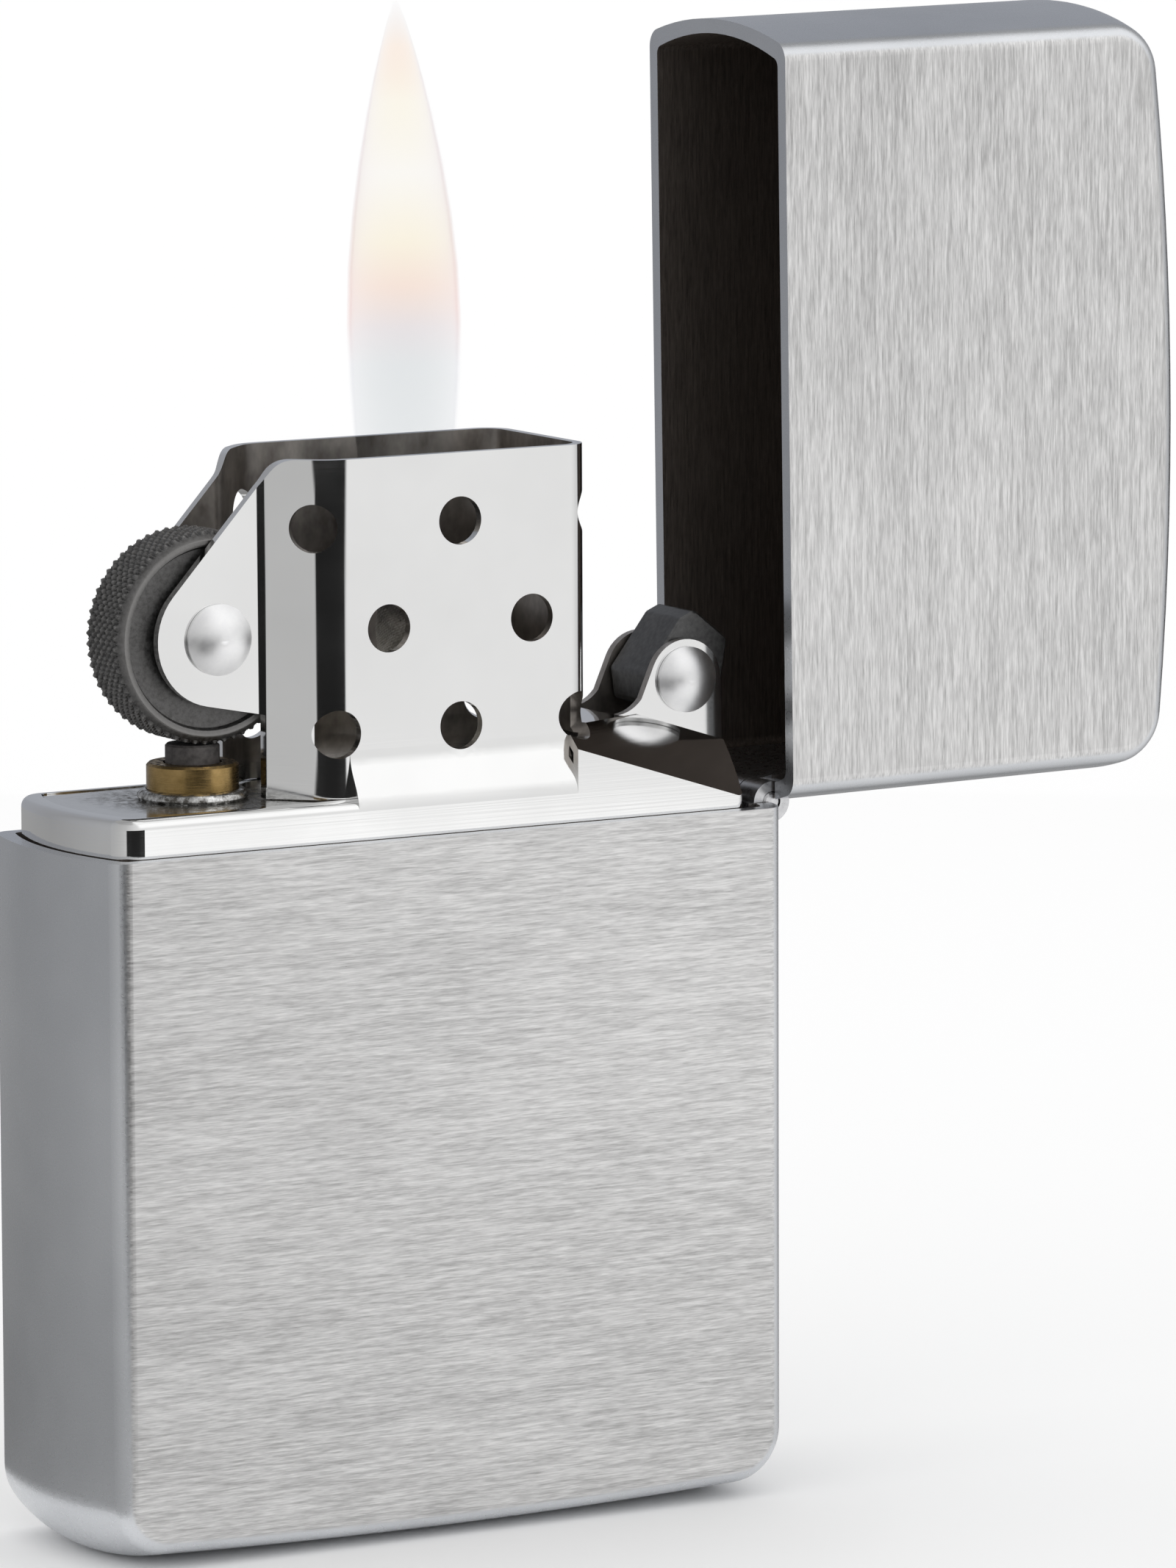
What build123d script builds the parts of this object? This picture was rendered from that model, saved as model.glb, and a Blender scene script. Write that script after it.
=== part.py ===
from build123d import *
from math import asin, cos, degrees, radians, sin, sqrt, tan
import os

# Flip-top windproof petrol lighter, millimetres.
# Origin: centre of the case's foot. +Z up, +X towards the hinge, -Y is the front.
# Rest pose: lid open, insert home.

# ---- driving dimensions -------------------------------------------------------
WIDTH = 38.1            # across the case, wheel side to hinge side
DEPTH = 12.7            # front to back
CLOSED_HEIGHT = 57.15   # with the lid shut
SPLIT = 33.9            # height of the case's rim
LID_OPEN = 89.3         # degrees the lid stands open at rest
SPLIT_GAP = 0.1         # between the shut lid's rim and the case's rim

WALL = 0.7              # drawn case and lid
CROWN = 1.0             # how far the end walls bulge
CORNER = 3.4            # corner radius seen from the front
EDGE = 0.95             # rounding between the front and the end walls
INNER_EDGE = 0.45
FOOT_SINK = 0.3         # how much of the crowned bottom is flattened into the foot
BOTTOM_ARCH = 400.0     # radius of the case bottom along its width
TOP_ARCH = 165.0        # radius of the lid top along its width

SHEET = 0.45            # insert sheet
FIT = 0.15              # insert to case, each side
INSERT_BASE = 2.6       # lower edge of the insert
INSERT_RIGHT = 17.4     # the insert's hinge-side end, short of the hinge leaf
SHOULDER = 1.9          # top of the shoulder above the rim
PLATE_SINK = 0.06       # top plate below the shoulder's rolled rim
INSERT_EDGE = 1.35      # upright corners of the insert
SHOULDER_EDGE = 0.5

CHIMNEY_TOP = 18.05     # above the rim, as are all heights named *_UP
CHIMNEY_HALF = 4.6
CHIMNEY_RIGHT = 8.6
CHIMNEY_LEFT_BEND = -5.7
CHIMNEY_CORNER = 1.4
BEND = 2.4              # between the chimney's front and its facets
FLARE_FOOT_UP = 1.3
FLARE_HEAD_UP = 4.2

FACET_TURN = 42.6       # from the chimney's front to its facets, degrees
EAR_BEND = -8.2         # where the chimney's facets turn into the wheel ears
EAR_HALF = 2.3          # outer faces of both pairs of ears
EAR_CLEAR = 0.15        # wheel or cam to ear
EAR_R = 3.2
EAR_EDGE = -8.1         # upright edge under the wheel ears

HOLE_R = 1.15
HOLE_ROW_UP = (14.8, 9.9, 5.0)
HOLE_PITCH = (7.9, 3.9, 6.6)
HOLE_MID_X = 1.3

WHEEL_X = -10.55
WHEEL_UP = 9.65
WHEEL_R = 5.08
RIVET_SHANK_R = 0.8
RIVET_HEAD_R = 1.7
RIVET_HEAD_RISE = 0.75
BORE_CLEAR = 0.05

TUBE_X = -10.75
TUBE_R = 2.2
TUBE_BORE_R = 1.4
TUBE_TOP_UP = 3.6
TUBE_BASE = 3.0
COLLAR_R = 2.65
COLLAR_TOP_UP = 2.35
FLINT_R = 1.3
FLINT_LENGTH = 5.0
TIP_LENGTH = 2.2
SCREW_TOP = 9.0
SCREW_HEAD_R = 2.1
SCREW_HEAD = 1.2
SPRING_R = 1.0
SPRING_WIRE_R = 0.16
SPRING_PITCH = 1.45

CAM_X = 15.1
CAM_UP = 6.0
CAM_EAR_R = 1.95
CAM_SHANK_R = 0.75
CAM_HEAD_R = 1.6
HIP_UP = 4.5            # flat top of the cam bracket's base
HIP_DROP = 0.323        # fall of the bracket's apron per mm towards the hinge
HIP_RISE = 0.823        # rise of the apron per mm away from the front
HIP_FRONT_UP = 3.1      # the apron's front edge, at the chimney

STRIP = 0.3             # cam spring thickness
SPRING_RIVET_R = 0.62
SPRING_RIVET_UP = -9.0

HINGE_X = 18.65
HINGE_HALF = 4.5
KNUCKLES = 5
KNUCKLE_GAP = 0.08
BARREL_R = 1.0
PIN_R = 0.45
LEAF = 0.4
LEAF_LENGTH = 7.0

WICK_X = 1.0
WICK_R = 1.6
WICK_TOP_UP = 14.4
WICK_BASE = 7.0

FELT_THICK = 2.0
PAD_CLEAR = 0.1

# ---- derived ------------------------------------------------------------------
half_width = WIDTH / 2
half_depth = DEPTH / 2
lid_height = CLOSED_HEIGHT - SPLIT - SPLIT_GAP
insert_left = half_width - WALL - FIT
insert_half = half_depth - WALL - FIT
ear_inner = EAR_HALF - SHEET
wheel_half = ear_inner - EAR_CLEAR
flint_top_up = WHEEL_UP - WHEEL_R - 0.07
plate_top_up = SHOULDER - PLATE_SINK
flare_start = CHIMNEY_LEFT_BEND + BEND * tan(radians(FACET_TURN / 2))
knuckle_pitch = 2 * HINGE_HALF / KNUCKLES
notch_half = HINGE_HALF + 0.12
notch_reach = BARREL_R + 0.15
hinge_axis = Axis((HINGE_X, 0, SPLIT), (0, 1, 0))

os.makedirs("parts", exist_ok=True)


def up(height):
    """A height above the case's rim, as a height above the foot."""
    return SPLIT + height


def save(part, label):
    part.label = label
    export_step(part, f"parts/{label}.step")


# ---- case and lid forms -------------------------------------------------------
def crowned_outline(left, right, half, edge):
    """Plan outline with straight front and back and crowned ends."""
    with BuildSketch(Plane.XY, mode=Mode.PRIVATE) as outline:
        with BuildLine():
            Line((CROWN - left, -half), (right - CROWN, -half))
            ThreePointArc((right - CROWN, -half), (right, 0), (right - CROWN, half))
            Line((right - CROWN, half), (CROWN - left, half))
            ThreePointArc((CROWN - left, half), (-left, 0), (CROWN - left, -half))
        make_face()
        fillet(outline.vertices(), edge)
    return outline.sketch


def band(plane, reach, half, crown, edge):
    """The crowned edge of a drawn shell, from its corner centre outwards."""
    with BuildSketch(plane) as section:
        with BuildLine():
            Line((0, -half), (reach - crown, -half))
            ThreePointArc((reach - crown, -half), (reach, 0), (reach - crown, half))
            Line((reach - crown, half), (0, half))
            Line((0, half), (0, -half))
        make_face()
        fillet(section.vertices().group_by(Axis((0, 0, 0), plane.x_dir))[-1], edge)
    return section.sketch


def crowned_tub(half_w, half, corner, height, arch, edge):
    """A solid tub: apex of its crowned bottom at z = 0, flat mouth at z = height."""
    centre_x = half_w - corner
    reach = arch - corner
    centre_z = arch - sqrt(reach**2 - centre_x**2)
    tilt = degrees(asin(centre_x / reach))
    side_plane = Plane((centre_x, 0, centre_z), x_dir=(1, 0, 0), z_dir=(0, 0, 1))
    down = (sin(radians(tilt)), 0, -cos(radians(tilt)))
    arch_plane = Plane((centre_x, 0, centre_z), x_dir=down, z_dir=(-down[2], 0, down[0]))
    side = band(side_plane, corner, half, CROWN, edge)
    foot = band(arch_plane, corner, half, CROWN, edge)
    with BuildPart() as tub:
        with BuildSketch(Plane.XZ):
            with BuildLine():
                Line((0, height), (centre_x, height))
                Line((centre_x, height), (centre_x, centre_z))
                RadiusArc((centre_x, centre_z), (0, corner), reach)
                Line((0, corner), (0, height))
            make_face()
        extrude(amount=half, both=True)
        extrude(side, amount=height - centre_z)
        revolve(side, axis=Axis((centre_x, 0, centre_z), (0, 1, 0)), revolution_arc=90 - tilt)
        revolve(foot, axis=Axis((0, 0, arch), (0, 1, 0)), revolution_arc=tilt)
        mirror(about=Plane.YZ)
    return tub.part


def drawn_shell(height, arch):
    """A tub with walls of one thickness."""
    outside = crowned_tub(half_width, half_depth, CORNER, height, arch, EDGE)
    inside = crowned_tub(half_width - WALL, half_depth - WALL, CORNER - WALL, height,
                         arch - WALL, INNER_EDGE)
    with BuildPart() as shell:
        add(outside)
        add(Pos(0, 0, WALL) * inside, mode=Mode.SUBTRACT)
    return shell.part


def hinge_notch():
    """The space that the knuckles need in a rim."""
    with BuildPart() as notch:
        with Locations((half_width + 2, 0, SPLIT)):
            Box(7.6, 2 * notch_half, 2 * notch_reach)
    return notch.part


# ---- hinge --------------------------------------------------------------------
def knuckles(first, radius, side_gap):
    """Every second knuckle of the hinge barrel, from the given one on."""
    with BuildPart() as barrel:
        for number in range(first, KNUCKLES, 2):
            start = -HINGE_HALF + number * knuckle_pitch + side_gap / 2
            with BuildSketch(Plane((HINGE_X, start, SPLIT), x_dir=(1, 0, 0), z_dir=(0, 1, 0))):
                Circle(radius)
            extrude(amount=knuckle_pitch - side_gap)
    return barrel.part


def hinge_leaf(first, z_low, z_high):
    """A leaf on the inside of an end wall, with its own knuckles."""
    wall_in = half_width - WALL
    own = knuckles(first, BARREL_R, KNUCKLE_GAP)
    others = knuckles(1 - first, notch_reach, -KNUCKLE_GAP)
    bore = knuckles(0, PIN_R + BORE_CLEAR, -KNUCKLE_GAP) + knuckles(1, PIN_R + BORE_CLEAR, -KNUCKLE_GAP)
    with BuildPart() as leaf:
        with BuildSketch(Plane.XY.offset(z_low)):
            add(crowned_outline(wall_in, wall_in, half_depth - WALL, INNER_EDGE))
            add(crowned_outline(wall_in - LEAF, wall_in - LEAF, half_depth - WALL, INNER_EDGE),
                mode=Mode.SUBTRACT)
            with Locations((HINGE_X, 0)):
                Rectangle(10, 2 * HINGE_HALF, mode=Mode.INTERSECT)
        extrude(amount=z_high - z_low)
        add(own)
        add(others, mode=Mode.SUBTRACT)
        add(bore, mode=Mode.SUBTRACT)
    return leaf.part


# ---- case ---------------------------------------------------------------------
with BuildPart() as case_body:
    add(Pos(0, 0, -FOOT_SINK) * drawn_shell(SPLIT + FOOT_SINK, BOTTOM_ARCH))
    with Locations((0, 0, -5)):
        Box(WIDTH, DEPTH, 10, mode=Mode.SUBTRACT)
    add(hinge_notch(), mode=Mode.SUBTRACT)
save(case_body.part, "case_body")

with BuildPart() as body_hinge_leaf:
    add(hinge_leaf(0, SPLIT - LEAF_LENGTH, SPLIT))
save(body_hinge_leaf.part, "body_hinge_leaf")

with BuildPart() as hinge_pin:
    with BuildSketch(Plane((HINGE_X, -HINGE_HALF, SPLIT), x_dir=(1, 0, 0), z_dir=(0, 1, 0))):
        Circle(PIN_R)
    extrude(amount=2 * HINGE_HALF)
    chamfer(hinge_pin.edges().filter_by(GeomType.CIRCLE), 0.1)
save(hinge_pin.part, "hinge_pin")

# ---- lid ----------------------------------------------------------------------
with BuildPart() as lid_shut:
    add(Pos(0, 0, CLOSED_HEIGHT) * Rot(180, 0, 0) * drawn_shell(lid_height, TOP_ARCH))
    add(hinge_notch(), mode=Mode.SUBTRACT)

with BuildPart() as lid_shell:
    add(lid_shut.part.rotate(hinge_axis, LID_OPEN))
save(lid_shell.part, "lid_shell")

with BuildPart() as lid_hinge_leaf:
    add(hinge_leaf(1, SPLIT, SPLIT + LEAF_LENGTH).rotate(hinge_axis, LID_OPEN))
save(lid_hinge_leaf.part, "lid_hinge_leaf")


# ---- insert sheet body --------------------------------------------------------
def chimney_plan(left):
    """Plan of the chimney, open-ended towards the wheel."""
    with BuildSketch() as plan:
        with BuildLine():
            Polyline((left, -EAR_HALF), (EAR_BEND, -EAR_HALF), (CHIMNEY_LEFT_BEND, -CHIMNEY_HALF),
                     (CHIMNEY_RIGHT, -CHIMNEY_HALF), (CHIMNEY_RIGHT, CHIMNEY_HALF),
                     (CHIMNEY_LEFT_BEND, CHIMNEY_HALF), (EAR_BEND, EAR_HALF), (left, EAR_HALF),
                     close=True)
        make_face()
        fillet(plan.vertices().group_by(Axis.X)[-1], CHIMNEY_CORNER)
        fillet(plan.vertices().group_by(Axis.X)[2], BEND)
        fillet(plan.vertices().group_by(Axis.X)[1], SHEET + 0.15)
    return plan.sketch


def flare_section(inset):
    """Front-to-back section of the soft shoulder that leads the sleeve into the chimney."""
    foot = insert_half - inset
    head = CHIMNEY_HALF - inset
    low = up(FLARE_FOOT_UP)
    high = up(FLARE_HEAD_UP)
    with BuildSketch(Plane.YZ.offset(flare_start + inset)) as section:
        with BuildLine():
            Line((-foot, low), (foot, low))
            Spline((foot, low), (head, high), tangents=[(0, 1), (0, 1)])
            Line((head, high), (-head, high))
            Spline((-head, high), (-foot, low), tangents=[(0, -1), (0, -1)])
        make_face()
    return section.sketch


def hip_form(inset):
    """The sloping base of the cam bracket, between the chimney and the hinge."""
    edge_up = HIP_FRONT_UP + HIP_RISE * (5.3 - insert_half)
    ridge_up = edge_up + HIP_RISE * (insert_half - EAR_HALF)
    start = CHIMNEY_RIGHT - CHIMNEY_CORNER
    lift = HIP_DROP * (9.0 - start)
    with BuildSketch(Plane.YZ.offset(start)) as section:
        Polygon((-insert_half, up(-6)), (insert_half, up(-6)), (insert_half, up(edge_up + lift)),
                (EAR_HALF, up(ridge_up + lift)), (-EAR_HALF, up(ridge_up + lift)),
                (-insert_half, up(edge_up + lift)), align=None)
        if inset > 0:
            offset(amount=-inset)
    with BuildPart() as hip:
        extrude(section.sketch, amount=11, dir=(1, 0, -HIP_DROP))
        with BuildSketch(Plane.XY.offset(up(-1))):
            add(crowned_outline(insert_left - inset, INSERT_RIGHT - inset, insert_half - inset,
                                INNER_EDGE))
        extrude(amount=1 + HIP_UP - inset, mode=Mode.INTERSECT)
    return hip.part


def insert_form(inset, low, chimney_high, ear_left):
    """The insert's outside for inset 0, or its inside for inset SHEET."""
    sleeve = crowned_outline(insert_left - inset, INSERT_RIGHT - inset, insert_half - inset,
                             INSERT_EDGE - inset)
    with BuildPart() as form:
        with BuildSketch(Plane.XY.offset(low)):
            add(sleeve)
        extrude(amount=SPLIT - low)
        with BuildSketch(Plane.XY.offset(SPLIT)):
            add(sleeve)
            with Locations((CHIMNEY_RIGHT, 0)):
                Rectangle(30, 30, align=(Align.MIN, Align.CENTER), mode=Mode.SUBTRACT)
        extrude(amount=SHOULDER - inset)
        if inset == 0:
            rim = form.edges().filter_by_position(Axis.Z, up(SHOULDER) - 0.01, up(SHOULDER) + 0.01)
            fillet(rim.filter_by_position(Axis.X, -half_width, CHIMNEY_RIGHT - 0.1), SHOULDER_EDGE)
        add(hip_form(inset))
        extrude(flare_section(inset), amount=CHIMNEY_RIGHT - CHIMNEY_CORNER - flare_start + 0.2 - inset)
        plan = chimney_plan(ear_left)
        with BuildSketch(Plane.XY.offset(SPLIT)):
            add(plan)
            if inset > 0:
                offset(amount=-inset)
        extrude(amount=chimney_high)
    return form.part


def wheel_ear_cutter():
    """Everything left of the chimney and above the shoulder that isn't wheel ear."""
    tangent = radians(137.5)
    heel = radians(-101)
    lowest = (WHEEL_X + EAR_R * cos(heel), up(WHEEL_UP + EAR_R * sin(heel)))
    upper = (WHEEL_X + EAR_R * cos(tangent), up(WHEEL_UP + EAR_R * sin(tangent)))
    with BuildSketch(Plane.XZ) as cutter:
        with BuildLine():
            Polyline((-30, up(SHOULDER)), (EAR_EDGE, up(SHOULDER)), (EAR_EDGE, up(5.9)), lowest)
            ThreePointArc(lowest, (WHEEL_X - EAR_R, up(WHEEL_UP)), upper)
            Line(upper, (EAR_BEND, up(CHIMNEY_TOP - 1.1)))
            Spline((EAR_BEND, up(CHIMNEY_TOP - 1.1)), (-6.9, up(CHIMNEY_TOP)), tangents=[(1, 1.25), (1, 0)])
            Polyline((-6.9, up(CHIMNEY_TOP)), (-6.9, up(22)), (-30, up(22)), (-30, up(SHOULDER)))
        make_face()
    return cutter.sketch


def cam_ear(y_start):
    """One ear of the cam bracket, a sheet standing on the sloping base."""
    with BuildPart() as ear:
        with BuildSketch(Plane.XZ.offset(-y_start)):
            with Locations((CAM_X, up(CAM_UP))):
                Circle(CAM_EAR_R)
            with Locations((12.2, up(3.6)), (16.9, up(2.6))):
                Circle(0.25)
            make_hull()
            with BuildLine():
                ThreePointArc((10.9, up(HIP_UP)), (12.25, up(4.85)), (13.05, up(6.1)))
                Polyline((13.05, up(6.1)), (13.6, up(HIP_UP - 0.3)), (10.9, up(HIP_UP - 0.3)), (10.9, up(HIP_UP)))
            make_face()
        extrude(amount=-SHEET)
    return ear.part


def chimney_holes():
    """Cutters for the wind holes: rows of three, two and three on each side."""
    flat_run = CHIMNEY_RIGHT - CHIMNEY_CORNER - HOLE_MID_X
    bend_run = HOLE_MID_X - CHIMNEY_LEFT_BEND
    facet = radians(FACET_TURN)
    spots = []
    for row, (height, pitch) in enumerate(zip(HOLE_ROW_UP, HOLE_PITCH)):
        steps = (-1, 1) if row == 1 else (-1, 0, 1)
        for step in steps:
            run = step * pitch
            if run > flat_run:
                turn = min((run - flat_run) / CHIMNEY_CORNER, radians(84))
                x = CHIMNEY_RIGHT - CHIMNEY_CORNER * (1 - sin(turn))
                y = -CHIMNEY_HALF + CHIMNEY_CORNER * (1 - cos(turn))
                spots.append((x, y, height, sin(turn), -cos(turn)))
            elif -run > bend_run:
                extra = -run - bend_run
                x = CHIMNEY_LEFT_BEND - extra * cos(facet)
                y = -CHIMNEY_HALF + extra * sin(facet)
                spots.append((x, y, height, -sin(facet), -cos(facet)))
            else:
                spots.append((HOLE_MID_X + run, -CHIMNEY_HALF, height, 0, -1))
    with BuildPart() as cutters:
        for x, y, height, nx, ny in spots:
            outward = Plane((x - nx, y - ny, up(height)), x_dir=(0, 0, 1), z_dir=(nx, ny, 0))
            with BuildSketch(outward):
                Circle(HOLE_R)
            extrude(amount=2)
        mirror(about=Plane.XZ)
    return cutters.part


def plate_outline(gap):
    """Plan of the top plate, or of its seat for a positive gap."""
    with BuildSketch() as plan:
        add(crowned_outline(insert_left - 0.85 + gap, insert_left - 0.85 + gap,
                            insert_half - 0.85 + gap, 0.5))
        with Locations((CHIMNEY_RIGHT - SHEET - 0.35 + gap, 0)):
            Rectangle(30, 30, align=(Align.MIN, Align.CENTER), mode=Mode.SUBTRACT)
    return plan.sketch


with BuildPart() as insert_can:
    add(insert_form(0, INSERT_BASE, CHIMNEY_TOP, -14.5))
    add(insert_form(SHEET, INSERT_BASE - 1, CHIMNEY_TOP + 1, -17), mode=Mode.SUBTRACT)
    extrude(wheel_ear_cutter(), amount=10, both=True, mode=Mode.SUBTRACT)
    extrude(Plane.XY.offset(up(plate_top_up - SHEET - 0.2)) * plate_outline(0.06),
            amount=SHEET + PLATE_SINK + 0.2, mode=Mode.SUBTRACT)
    with Locations((14.1, 0, up(4))):
        Box(5.8, 2 * ear_inner, 5, mode=Mode.SUBTRACT)
    add(cam_ear(-EAR_HALF))
    add(cam_ear(ear_inner))
    add(chimney_holes(), mode=Mode.SUBTRACT)
    for x, height, radius in ((WHEEL_X, WHEEL_UP, RIVET_SHANK_R), (CAM_X, CAM_UP, CAM_SHANK_R)):
        with BuildSketch(Plane.XZ):
            with Locations((x, up(height))):
                Circle(radius + BORE_CLEAR)
        extrude(amount=6, both=True, mode=Mode.SUBTRACT)
    with BuildSketch(Plane((0, 0, up(SPRING_RIVET_UP)), x_dir=(0, 1, 0), z_dir=(1, 0, 0))):
        Circle(SPRING_RIVET_R)
    extrude(amount=INSERT_RIGHT + 1, mode=Mode.SUBTRACT)
save(insert_can.part, "insert_can")

# ---- top plate and flint tube -------------------------------------------------
with BuildPart() as top_plate:
    with BuildSketch(Plane.XY.offset(up(plate_top_up - SHEET))):
        add(plate_outline(0))
        with Locations((WICK_X, 0)):
            Circle(WICK_R + PAD_CLEAR, mode=Mode.SUBTRACT)
    extrude(amount=SHEET)
    with BuildSketch(Plane.XZ) as collar_section:
        with BuildLine():
            Polyline((TUBE_X + 0.5, up(plate_top_up - SHEET)), (TUBE_X + COLLAR_R - 0.12, up(plate_top_up - SHEET)),
                     (TUBE_X + COLLAR_R - 0.12, up(plate_top_up)), (TUBE_X + COLLAR_R, up(plate_top_up + 0.15)))
            Spline((TUBE_X + COLLAR_R, up(plate_top_up + 0.15)), (TUBE_X + TUBE_R, up(COLLAR_TOP_UP)),
                   tangents=[(0, 1), (-1, 0)])
            Polyline((TUBE_X + TUBE_R, up(COLLAR_TOP_UP)), (TUBE_X + 0.5, up(COLLAR_TOP_UP)),
                     (TUBE_X + 0.5, up(plate_top_up - SHEET)))
        make_face()
    revolve(axis=Axis((TUBE_X, 0, 0), (0, 0, 1)))
    with BuildSketch(Plane.XY.offset(up(SHOULDER - 1))):
        with Locations((TUBE_X, 0)):
            Circle(TUBE_R + 0.03)
    extrude(amount=4, mode=Mode.SUBTRACT)
save(top_plate.part, "top_plate")

with BuildPart() as flint_tube:
    with BuildSketch(Plane.XY.offset(TUBE_BASE)):
        with Locations((TUBE_X, 0)):
            Circle(TUBE_R)
            Circle(TUBE_BORE_R, mode=Mode.SUBTRACT)
    extrude(amount=up(TUBE_TOP_UP) - TUBE_BASE)
    chamfer(flint_tube.edges().group_by(Axis.Z)[-1].sort_by(SortBy.RADIUS)[-1], 0.12)
save(flint_tube.part, "flint_tube")


# ---- flint train --------------------------------------------------------------
def upright_rod(radius, low, high, edge):
    """A round rod in the flint tube's bore, with softened ends."""
    with BuildPart() as rod:
        with BuildSketch(Plane.XY.offset(low)):
            with Locations((TUBE_X, 0)):
                Circle(radius)
        extrude(amount=high - low)
        chamfer(rod.edges().filter_by(GeomType.CIRCLE), edge)
    return rod.part


flint_base = up(flint_top_up) - FLINT_LENGTH
tip_base = flint_base - TIP_LENGTH
spring_low = SCREW_TOP + 0.1
spring_high = tip_base - 0.05

with BuildPart() as flint:
    add(upright_rod(FLINT_R, flint_base, up(flint_top_up), 0.1))
save(flint.part, "flint")

with BuildPart() as spring_tip:
    add(upright_rod(FLINT_R, tip_base, flint_base - 0.02, 0.25))
save(spring_tip.part, "spring_tip")

with BuildPart() as flint_spring:
    with BuildLine():
        coil = Helix(SPRING_PITCH, spring_high - spring_low - 2 * SPRING_WIRE_R, SPRING_R,
                     center=(TUBE_X, 0, spring_low + SPRING_WIRE_R))
    with BuildSketch(Plane(coil @ 0, z_dir=coil % 0)):
        Circle(SPRING_WIRE_R)
    sweep(is_frenet=True)
save(flint_spring.part, "flint_spring")

with BuildPart() as flint_screw:
    add(upright_rod(FLINT_R + 0.05, TUBE_BASE - SCREW_HEAD - 0.1, SCREW_TOP, 0.2))
    with BuildSketch(Plane.XY.offset(TUBE_BASE - SCREW_HEAD - 0.1)):
        with Locations((TUBE_X, 0)):
            Circle(SCREW_HEAD_R)
    extrude(amount=SCREW_HEAD)
    chamfer(flint_screw.edges().group_by(Axis.Z)[0].sort_by(SortBy.RADIUS)[-1], 0.2)
    with Locations((TUBE_X, 0, TUBE_BASE - SCREW_HEAD)):
        Box(2 * SCREW_HEAD_R + 1, 0.7, 1.2, mode=Mode.SUBTRACT)
save(flint_screw.part, "flint_screw")


# ---- wheel, cam and their rivets ----------------------------------------------
def domed_rivet(x, height, shank_r, head_r, rise):
    """A rivet along Y with a low dome on the outside of each ear."""
    brim = 0.2
    dome_r = (head_r**2 + (rise - brim) ** 2) / (2 * (rise - brim))
    half_turn = asin(head_r / dome_r) / 2
    dome_mid = (x + dome_r * sin(half_turn), dome_r * (1 - cos(half_turn)) - EAR_HALF - rise)
    with BuildPart() as rivet:
        with BuildSketch(Plane.XY.offset(up(height))):
            with BuildLine():
                Polyline((x, -EAR_HALF - rise), (x, 0), (x + shank_r, 0), (x + shank_r, -EAR_HALF - 0.02),
                         (x + head_r, -EAR_HALF - 0.02), (x + head_r, -EAR_HALF - brim))
                ThreePointArc((x + head_r, -EAR_HALF - brim), dome_mid, (x, -EAR_HALF - rise))
            make_face()
        revolve(axis=Axis((x, 0, up(height)), (0, 1, 0)))
        mirror(about=Plane.XZ)
    return rivet.part


with BuildPart() as wheel_rivet:
    add(domed_rivet(WHEEL_X, WHEEL_UP, RIVET_SHANK_R, RIVET_HEAD_R, RIVET_HEAD_RISE))
save(wheel_rivet.part, "wheel_rivet")

with BuildPart() as cam_rivet:
    add(domed_rivet(CAM_X, CAM_UP, CAM_SHANK_R, CAM_HEAD_R, RIVET_HEAD_RISE - 0.05))
save(cam_rivet.part, "cam_rivet")

with BuildPart() as flint_wheel:
    with BuildSketch(Plane.XY.offset(up(WHEEL_UP))):
        with BuildLine():
            bore = WHEEL_X + RIVET_SHANK_R + BORE_CLEAR
            Polyline((bore, -wheel_half), (WHEEL_X + 2.0, -wheel_half), (WHEEL_X + 2.3, 0.25 - wheel_half),
                     (WHEEL_X + WHEEL_R - 0.75, 0.25 - wheel_half), (WHEEL_X + WHEEL_R - 0.6, -wheel_half),
                     (WHEEL_X + WHEEL_R - 0.35, -wheel_half), (WHEEL_X + WHEEL_R, 0.35 - wheel_half),
                     (WHEEL_X + WHEEL_R, 0), (bore, 0), close=True)
        make_face()
    revolve(axis=Axis((WHEEL_X, 0, up(WHEEL_UP)), (0, 1, 0)))
    mirror(about=Plane.XZ)
save(flint_wheel.part, "flint_wheel")

with BuildPart() as cam:
    with BuildSketch(Plane.XZ.offset(-wheel_half)) as cam_face:
        with Locations((CAM_X, up(CAM_UP))):
            Polygon((0.9, 3.25), (2.75, 1.75), (2.2, -1.4), (0.8, -2.0), (-1.7, -1.2), (-1.9, 0.3),
                    (0.1, 2.9), align=None)
            fillet(cam_face.vertices(), 0.35)
            Circle(CAM_SHANK_R + BORE_CLEAR, mode=Mode.SUBTRACT)
    extrude(amount=2 * wheel_half)
    chamfer(cam.edges().group_by(Axis.Y)[0] + cam.edges().group_by(Axis.Y)[-1], 0.1)
save(cam.part, "cam")

# ---- cam spring ---------------------------------------------------------------
strip_x = INSERT_RIGHT - SHEET - STRIP / 2 - 0.2
rivet_plane = Plane((strip_x - STRIP / 2 - 0.38, 0, up(SPRING_RIVET_UP)), x_dir=(0, 1, 0), z_dir=(1, 0, 0))
with BuildPart() as cam_spring:
    with BuildLine(Plane.XZ) as strip_path:
        Line((strip_x, up(-12)), (strip_x, up(0.6)))
        Spline((strip_x, up(0.6)), (15.3, up(3.3)), tangents=[(0, 1), (-1, 0.1)])
        Line((15.3, up(3.3)), (12.8, up(3.2)))
    with BuildSketch(Plane((strip_x, 0, up(-12)), x_dir=(1, 0, 0), z_dir=(0, 0, 1))):
        Rectangle(STRIP, 3.0)
    sweep(path=strip_path.wires()[0])
    with BuildSketch(rivet_plane):
        Circle(SPRING_RIVET_R)
    extrude(amount=1.5, mode=Mode.SUBTRACT)
save(cam_spring.part, "cam_spring")

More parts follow.
